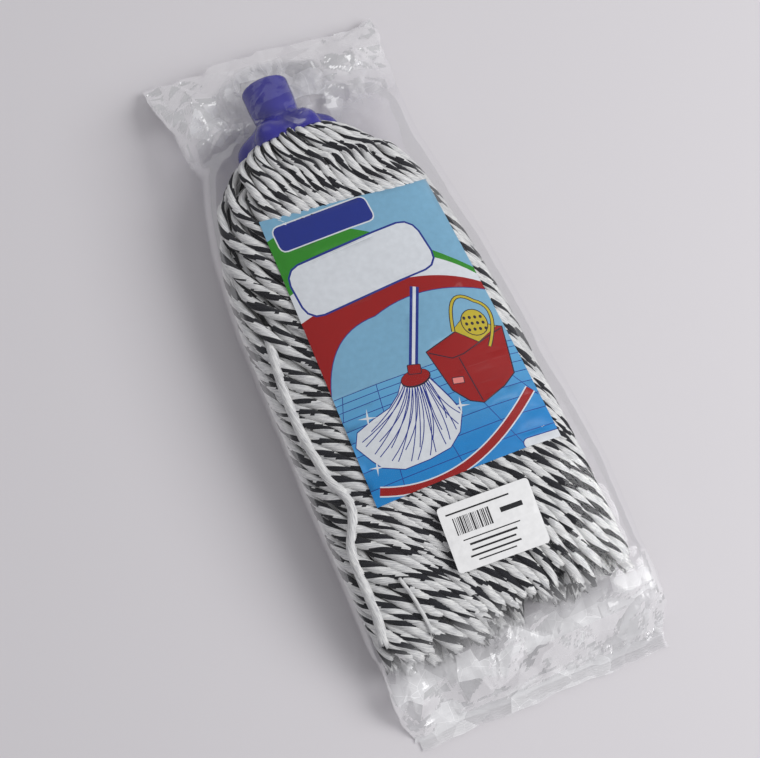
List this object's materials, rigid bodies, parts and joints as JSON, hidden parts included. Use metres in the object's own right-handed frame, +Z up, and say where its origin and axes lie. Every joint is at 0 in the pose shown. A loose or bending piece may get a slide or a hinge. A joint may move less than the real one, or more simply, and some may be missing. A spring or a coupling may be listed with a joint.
{
  "type": "string mop head",
  "caption": "String mop head of black and white twisted cotton yarn on a threaded plastic socket, packed with a printed insert in a clear film bag.",
  "frame": {"origin": "middle of the bag's underside, on the surface that the pack lies on", "axes": "+Z up, out of the printed side; +Y along the mop, towards the screw socket; +X across, to the right as seen from the yarn ends"},
  "size_m": [0.18, 0.452, 0.0652],
  "materials": {
    "socket": "moulded polypropylene, ultramarine blue, semi-gloss",
    "yarn": "soft twisted cotton yarn, off-white plies with a black ply",
    "insert": "printed paper, satin, blue ground with coloured bands",
    "film": "clear thin polypropylene film, glossy and crinkled",
    "sticker": "matt white label paper with black bars"
  },
  "bodies": {
    "mop_head": {"screw_socket": "socket", "clamp_plug": "socket", "folded_yarn": "yarn", "outer_hank_01": "yarn", "outer_hank_02": "yarn", "outer_hank_03": "yarn", "outer_hank_04": "yarn", "outer_hank_05": "yarn", "outer_hank_06": "yarn", "outer_hank_07": "yarn", "outer_hank_08": "yarn", "outer_hank_09": "yarn", "outer_hank_10": "yarn", "outer_hank_11": "yarn", "outer_hank_12": "yarn", "outer_hank_13": "yarn", "outer_hank_14": "yarn", "outer_hank_15": "yarn", "outer_hank_16": "yarn", "inner_hank_1": "yarn", "inner_hank_2": "yarn", "inner_hank_3": "yarn", "inner_hank_4": "yarn", "inner_hank_5": "yarn", "inner_hank_6": "yarn", "label_insert": "insert"},
    "bag": {"bag_film": "film", "bag_weld": "film", "price_sticker": "sticker"}
  },
  "joints": [
    {"name": "bag_pull", "type": "slide", "parent": "mop_head", "child": "bag", "axis": [0, -1, 0], "range_m": [0, 0.44], "deforming": ["bag_film"]}
  ]
}
